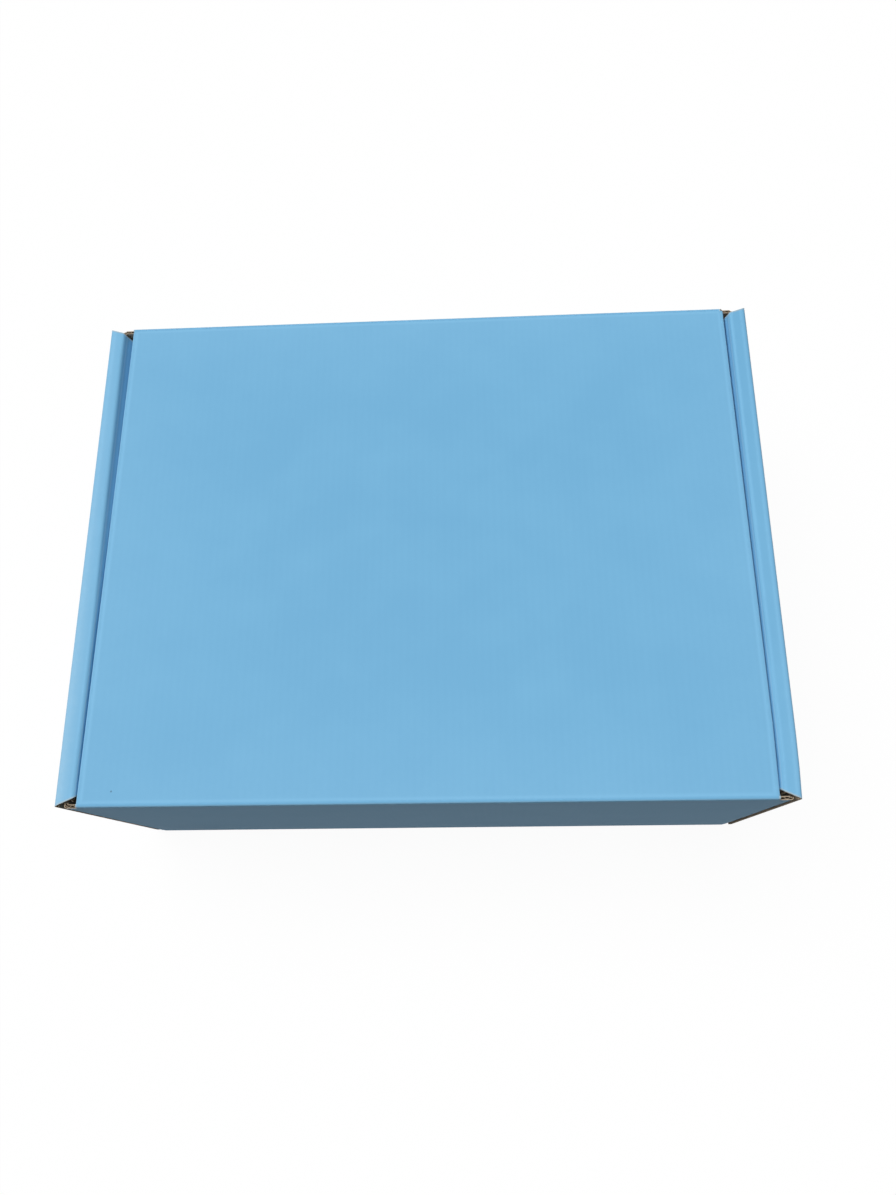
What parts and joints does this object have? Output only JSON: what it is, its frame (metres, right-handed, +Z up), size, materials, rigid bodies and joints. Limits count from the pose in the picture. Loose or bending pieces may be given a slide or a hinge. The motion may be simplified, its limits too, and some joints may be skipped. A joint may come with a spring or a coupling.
{
  "type": "corrugated mailer box",
  "caption": "Flat corrugated mailer box with rolled double side walls, a hinged lid and a front tuck flap with ears.",
  "frame": {"origin": "centre of the box's footprint, on the underside", "axes": "+X to the right along the width, +Y to the back where the lid is hinged, +Z up"},
  "size_m": [0.316, 0.237, 0.129],
  "materials": {
    "printed_board": "matt light blue print on the outside of brown fluted board, brown at the cut edges and inside"
  },
  "bodies": {
    "tray": {"floor": "printed_board", "left_wall": "printed_board", "right_wall": "printed_board", "front_wall": "printed_board", "back_wall": "printed_board"},
    "lid": {"lid": "printed_board"},
    "front_flap": {"front_flap": "printed_board"}
  },
  "joints": [
    {"name": "lid_hinge", "type": "hinge", "parent": "tray", "child": "lid", "pos_m": [0, 0.1177, 0.1282], "axis": [-1, 0, 0], "range_deg": [0, 180]},
    {"name": "flap_hinge", "type": "hinge", "parent": "lid", "child": "front_flap", "pos_m": [0, -0.1177, 0.1282], "axis": [-1, 0, 0], "range_deg": [0, 90]}
  ]
}
